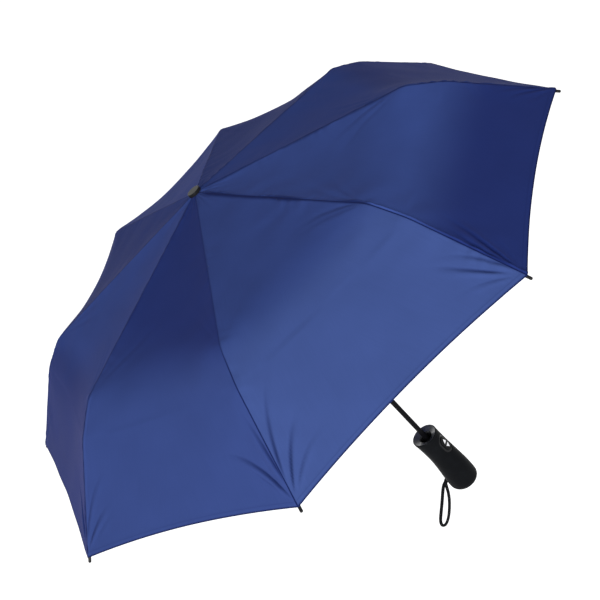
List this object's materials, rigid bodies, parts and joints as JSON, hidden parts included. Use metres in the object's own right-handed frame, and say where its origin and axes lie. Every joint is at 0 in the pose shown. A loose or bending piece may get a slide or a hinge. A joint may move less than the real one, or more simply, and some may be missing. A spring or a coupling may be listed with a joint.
{
  "type": "folding umbrella",
  "caption": "Three-fold automatic umbrella, open: telescoping shaft, push-button grip with wrist strap, hinged ribs and stretchers on a sliding runner, blue canopy.",
  "frame": {"origin": "on the shaft's axis at the middle of the grip, where the hand holds it", "axes": "+Z along the shaft towards the ferrule, push button towards -Y"},
  "size_m": [0.8376, 0.8376, 0.7306],
  "materials": {
    "fabric": "satin",
    "soft_touch": "matte",
    "collar_gloss": "gloss",
    "black_gloss": "gloss",
    "black_plastic": "satin",
    "mark": "satin",
    "black_steel": "gloss",
    "bare_steel": "satin",
    "rib_metal": "satin",
    "stretcher_metal": "satin",
    "fibreglass": "satin",
    "strap_webbing": "matte"
  },
  "bodies": {
    "handle": {"grip": "soft_touch", "collar": "collar_gloss", "tip_cup": "black_plastic", "button_bezel": "black_gloss", "bottom_tube": "black_steel", "button_spring": "bare_steel", "end_plug": "black_plastic", "strap_eyelet": "black_plastic", "strap": "strap_webbing"},
    "button": {"button": "black_plastic", "button_mark": "mark", "catch_slider": "black_plastic"},
    "middle_shaft": {"middle_tube": "black_steel"},
    "upper_shaft": {"upper_tube": "black_steel", "crown": "black_plastic", "crown_ring": "bare_steel", "ferrule_cap": "black_gloss", "canopy": "fabric"},
    "runner": {"runner": "black_plastic", "runner_ring": "bare_steel"},
    "inner_rib_1": {"inner_rib_1": "rib_metal"},
    "middle_rib_1": {"middle_rib_1": "rib_metal"},
    "outer_rib_1": {"outer_rib_1": "fibreglass", "rib_tip_1": "black_plastic"},
    "stretcher_1": {"stretcher_1": "stretcher_metal"},
    "inner_rib_2": {"inner_rib_2": "rib_metal"},
    "middle_rib_2": {"middle_rib_2": "rib_metal"},
    "outer_rib_2": {"outer_rib_2": "fibreglass", "rib_tip_2": "black_plastic"},
    "stretcher_2": {"stretcher_2": "stretcher_metal"},
    "inner_rib_3": {"inner_rib_3": "rib_metal"},
    "middle_rib_3": {"middle_rib_3": "rib_metal"},
    "outer_rib_3": {"outer_rib_3": "fibreglass", "rib_tip_3": "black_plastic"},
    "stretcher_3": {"stretcher_3": "stretcher_metal"},
    "inner_rib_4": {"inner_rib_4": "rib_metal"},
    "middle_rib_4": {"middle_rib_4": "rib_metal"},
    "outer_rib_4": {"outer_rib_4": "fibreglass", "rib_tip_4": "black_plastic"},
    "stretcher_4": {"stretcher_4": "stretcher_metal"},
    "inner_rib_5": {"inner_rib_5": "rib_metal"},
    "middle_rib_5": {"middle_rib_5": "rib_metal"},
    "outer_rib_5": {"outer_rib_5": "fibreglass", "rib_tip_5": "black_plastic"},
    "stretcher_5": {"stretcher_5": "stretcher_metal"},
    "inner_rib_6": {"inner_rib_6": "rib_metal"},
    "middle_rib_6": {"middle_rib_6": "rib_metal"},
    "outer_rib_6": {"outer_rib_6": "fibreglass", "rib_tip_6": "black_plastic"},
    "stretcher_6": {"stretcher_6": "stretcher_metal"},
    "inner_rib_7": {"inner_rib_7": "rib_metal"},
    "middle_rib_7": {"middle_rib_7": "rib_metal"},
    "outer_rib_7": {"outer_rib_7": "fibreglass", "rib_tip_7": "black_plastic"},
    "stretcher_7": {"stretcher_7": "stretcher_metal"},
    "inner_rib_8": {"inner_rib_8": "rib_metal"},
    "middle_rib_8": {"middle_rib_8": "rib_metal"},
    "outer_rib_8": {"outer_rib_8": "fibreglass", "rib_tip_8": "black_plastic"},
    "stretcher_8": {"stretcher_8": "stretcher_metal"}
  },
  "joints": [
    {"name": "button_press", "type": "slide", "parent": "handle", "child": "button", "axis": [0, 1, 0], "range_m": [0, 0.0025], "stiffness_N_per_m": 600, "springref_m": -0.002, "deforming": ["button_spring"]},
    {"name": "shaft_slide_lower", "type": "slide", "parent": "handle", "child": "middle_shaft", "axis": [0, 0, 1], "range_m": [-0.157, 0]},
    {"name": "shaft_slide_upper", "type": "slide", "parent": "middle_shaft", "child": "upper_shaft", "axis": [0, 0, 1], "range_m": [-0.157, 0]},
    {"name": "runner_slide", "type": "slide", "parent": "upper_shaft", "child": "runner", "axis": [0, 0, 1], "range_m": [-0.11228, 0], "deforming": ["canopy"]},
    {"name": "crown_hinge_1", "type": "hinge", "parent": "upper_shaft", "child": "inner_rib_1", "pos_m": [0.01016, 0.00421, 0.5957], "axis": [-0.3827, 0.9239, 0], "range_deg": [0, 80.13]},
    {"name": "stretcher_hinge_1", "type": "hinge", "parent": "inner_rib_1", "child": "stretcher_1", "pos_m": [0.09202, 0.03812, 0.57988], "axis": [-0.3827, 0.9239, 0], "range_deg": [-126.48, 0]},
    {"name": "rib_hinge_1", "type": "hinge", "parent": "inner_rib_1", "child": "middle_rib_1", "pos_m": [0.14409, 0.05968, 0.57332], "axis": [-0.3827, 0.9239, 0], "range_deg": [-180, 0]},
    {"name": "knee_hinge_1", "type": "hinge", "parent": "middle_rib_1", "child": "outer_rib_1", "pos_m": [0.27659, 0.11457, 0.54207], "axis": [-0.3827, 0.9239, 0], "range_deg": [0, 150.74]},
    {"name": "crown_hinge_2", "type": "hinge", "parent": "upper_shaft", "child": "inner_rib_2", "pos_m": [0.00421, 0.01016, 0.5957], "axis": [-0.9239, 0.3827, 0], "range_deg": [0, 80.13]},
    {"name": "stretcher_hinge_2", "type": "hinge", "parent": "inner_rib_2", "child": "stretcher_2", "pos_m": [0.03812, 0.09202, 0.57988], "axis": [-0.9239, 0.3827, 0], "range_deg": [-126.48, 0]},
    {"name": "rib_hinge_2", "type": "hinge", "parent": "inner_rib_2", "child": "middle_rib_2", "pos_m": [0.05968, 0.14409, 0.57332], "axis": [-0.9239, 0.3827, 0], "range_deg": [-180, 0]},
    {"name": "knee_hinge_2", "type": "hinge", "parent": "middle_rib_2", "child": "outer_rib_2", "pos_m": [0.11457, 0.27659, 0.54207], "axis": [-0.9239, 0.3827, 0], "range_deg": [0, 150.74]},
    {"name": "crown_hinge_3", "type": "hinge", "parent": "upper_shaft", "child": "inner_rib_3", "pos_m": [-0.00421, 0.01016, 0.5957], "axis": [-0.9239, -0.3827, 0], "range_deg": [0, 80.13]},
    {"name": "stretcher_hinge_3", "type": "hinge", "parent": "inner_rib_3", "child": "stretcher_3", "pos_m": [-0.03812, 0.09202, 0.57988], "axis": [-0.9239, -0.3827, 0], "range_deg": [-126.48, 0]},
    {"name": "rib_hinge_3", "type": "hinge", "parent": "inner_rib_3", "child": "middle_rib_3", "pos_m": [-0.05968, 0.14409, 0.57332], "axis": [-0.9239, -0.3827, 0], "range_deg": [-180, 0]},
    {"name": "knee_hinge_3", "type": "hinge", "parent": "middle_rib_3", "child": "outer_rib_3", "pos_m": [-0.11457, 0.27659, 0.54207], "axis": [-0.9239, -0.3827, 0], "range_deg": [0, 150.74]},
    {"name": "crown_hinge_4", "type": "hinge", "parent": "upper_shaft", "child": "inner_rib_4", "pos_m": [-0.01016, 0.00421, 0.5957], "axis": [-0.3827, -0.9239, 0], "range_deg": [0, 80.13]},
    {"name": "stretcher_hinge_4", "type": "hinge", "parent": "inner_rib_4", "child": "stretcher_4", "pos_m": [-0.09202, 0.03812, 0.57988], "axis": [-0.3827, -0.9239, 0], "range_deg": [-126.48, 0]},
    {"name": "rib_hinge_4", "type": "hinge", "parent": "inner_rib_4", "child": "middle_rib_4", "pos_m": [-0.14409, 0.05968, 0.57332], "axis": [-0.3827, -0.9239, 0], "range_deg": [-180, 0]},
    {"name": "knee_hinge_4", "type": "hinge", "parent": "middle_rib_4", "child": "outer_rib_4", "pos_m": [-0.27659, 0.11457, 0.54207], "axis": [-0.3827, -0.9239, 0], "range_deg": [0, 150.74]},
    {"name": "crown_hinge_5", "type": "hinge", "parent": "upper_shaft", "child": "inner_rib_5", "pos_m": [-0.01016, -0.00421, 0.5957], "axis": [0.3827, -0.9239, 0], "range_deg": [0, 80.13]},
    {"name": "stretcher_hinge_5", "type": "hinge", "parent": "inner_rib_5", "child": "stretcher_5", "pos_m": [-0.09202, -0.03812, 0.57988], "axis": [0.3827, -0.9239, 0], "range_deg": [-126.48, 0]},
    {"name": "rib_hinge_5", "type": "hinge", "parent": "inner_rib_5", "child": "middle_rib_5", "pos_m": [-0.14409, -0.05968, 0.57332], "axis": [0.3827, -0.9239, 0], "range_deg": [-180, 0]},
    {"name": "knee_hinge_5", "type": "hinge", "parent": "middle_rib_5", "child": "outer_rib_5", "pos_m": [-0.27659, -0.11457, 0.54207], "axis": [0.3827, -0.9239, 0], "range_deg": [0, 150.74]},
    {"name": "crown_hinge_6", "type": "hinge", "parent": "upper_shaft", "child": "inner_rib_6", "pos_m": [-0.00421, -0.01016, 0.5957], "axis": [0.9239, -0.3827, 0], "range_deg": [0, 80.13]},
    {"name": "stretcher_hinge_6", "type": "hinge", "parent": "inner_rib_6", "child": "stretcher_6", "pos_m": [-0.03812, -0.09202, 0.57988], "axis": [0.9239, -0.3827, 0], "range_deg": [-126.48, 0]},
    {"name": "rib_hinge_6", "type": "hinge", "parent": "inner_rib_6", "child": "middle_rib_6", "pos_m": [-0.05968, -0.14409, 0.57332], "axis": [0.9239, -0.3827, 0], "range_deg": [-180, 0]},
    {"name": "knee_hinge_6", "type": "hinge", "parent": "middle_rib_6", "child": "outer_rib_6", "pos_m": [-0.11457, -0.27659, 0.54207], "axis": [0.9239, -0.3827, 0], "range_deg": [0, 150.74]},
    {"name": "crown_hinge_7", "type": "hinge", "parent": "upper_shaft", "child": "inner_rib_7", "pos_m": [0.00421, -0.01016, 0.5957], "axis": [0.9239, 0.3827, 0], "range_deg": [0, 80.13]},
    {"name": "stretcher_hinge_7", "type": "hinge", "parent": "inner_rib_7", "child": "stretcher_7", "pos_m": [0.03812, -0.09202, 0.57988], "axis": [0.9239, 0.3827, 0], "range_deg": [-126.48, 0]},
    {"name": "rib_hinge_7", "type": "hinge", "parent": "inner_rib_7", "child": "middle_rib_7", "pos_m": [0.05968, -0.14409, 0.57332], "axis": [0.9239, 0.3827, 0], "range_deg": [-180, 0]},
    {"name": "knee_hinge_7", "type": "hinge", "parent": "middle_rib_7", "child": "outer_rib_7", "pos_m": [0.11457, -0.27659, 0.54207], "axis": [0.9239, 0.3827, 0], "range_deg": [0, 150.74]},
    {"name": "crown_hinge_8", "type": "hinge", "parent": "upper_shaft", "child": "inner_rib_8", "pos_m": [0.01016, -0.00421, 0.5957], "axis": [0.3827, 0.9239, 0], "range_deg": [0, 80.13]},
    {"name": "stretcher_hinge_8", "type": "hinge", "parent": "inner_rib_8", "child": "stretcher_8", "pos_m": [0.09202, -0.03812, 0.57988], "axis": [0.3827, 0.9239, 0], "range_deg": [-126.48, 0]},
    {"name": "rib_hinge_8", "type": "hinge", "parent": "inner_rib_8", "child": "middle_rib_8", "pos_m": [0.14409, -0.05968, 0.57332], "axis": [0.3827, 0.9239, 0], "range_deg": [-180, 0]},
    {"name": "knee_hinge_8", "type": "hinge", "parent": "middle_rib_8", "child": "outer_rib_8", "pos_m": [0.27659, -0.11457, 0.54207], "axis": [0.3827, 0.9239, 0], "range_deg": [0, 150.74]}
  ],
  "couplings": [
    {"joint": "shaft_slide_lower", "follows": "shaft_slide_upper", "ratio": 1},
    {"joint": "crown_hinge_1", "follows": "runner_slide", "rad_per_m": -12.456},
    {"joint": "stretcher_hinge_1", "follows": "runner_slide", "rad_per_m": 19.661},
    {"joint": "rib_hinge_1", "follows": "runner_slide", "rad_per_m": 27.98},
    {"joint": "knee_hinge_1", "follows": "runner_slide", "rad_per_m": -23.433},
    {"joint": "crown_hinge_2", "follows": "runner_slide", "rad_per_m": -12.456},
    {"joint": "stretcher_hinge_2", "follows": "runner_slide", "rad_per_m": 19.661},
    {"joint": "rib_hinge_2", "follows": "runner_slide", "rad_per_m": 27.98},
    {"joint": "knee_hinge_2", "follows": "runner_slide", "rad_per_m": -23.433},
    {"joint": "crown_hinge_3", "follows": "runner_slide", "rad_per_m": -12.456},
    {"joint": "stretcher_hinge_3", "follows": "runner_slide", "rad_per_m": 19.661},
    {"joint": "rib_hinge_3", "follows": "runner_slide", "rad_per_m": 27.98},
    {"joint": "knee_hinge_3", "follows": "runner_slide", "rad_per_m": -23.433},
    {"joint": "crown_hinge_4", "follows": "runner_slide", "rad_per_m": -12.456},
    {"joint": "stretcher_hinge_4", "follows": "runner_slide", "rad_per_m": 19.661},
    {"joint": "rib_hinge_4", "follows": "runner_slide", "rad_per_m": 27.98},
    {"joint": "knee_hinge_4", "follows": "runner_slide", "rad_per_m": -23.433},
    {"joint": "crown_hinge_5", "follows": "runner_slide", "rad_per_m": -12.456},
    {"joint": "stretcher_hinge_5", "follows": "runner_slide", "rad_per_m": 19.661},
    {"joint": "rib_hinge_5", "follows": "runner_slide", "rad_per_m": 27.98},
    {"joint": "knee_hinge_5", "follows": "runner_slide", "rad_per_m": -23.433},
    {"joint": "crown_hinge_6", "follows": "runner_slide", "rad_per_m": -12.456},
    {"joint": "stretcher_hinge_6", "follows": "runner_slide", "rad_per_m": 19.661},
    {"joint": "rib_hinge_6", "follows": "runner_slide", "rad_per_m": 27.98},
    {"joint": "knee_hinge_6", "follows": "runner_slide", "rad_per_m": -23.433},
    {"joint": "crown_hinge_7", "follows": "runner_slide", "rad_per_m": -12.456},
    {"joint": "stretcher_hinge_7", "follows": "runner_slide", "rad_per_m": 19.661},
    {"joint": "rib_hinge_7", "follows": "runner_slide", "rad_per_m": 27.98},
    {"joint": "knee_hinge_7", "follows": "runner_slide", "rad_per_m": -23.433},
    {"joint": "crown_hinge_8", "follows": "runner_slide", "rad_per_m": -12.456},
    {"joint": "stretcher_hinge_8", "follows": "runner_slide", "rad_per_m": 19.661},
    {"joint": "rib_hinge_8", "follows": "runner_slide", "rad_per_m": 27.98},
    {"joint": "knee_hinge_8", "follows": "runner_slide", "rad_per_m": -23.433}
  ]
}
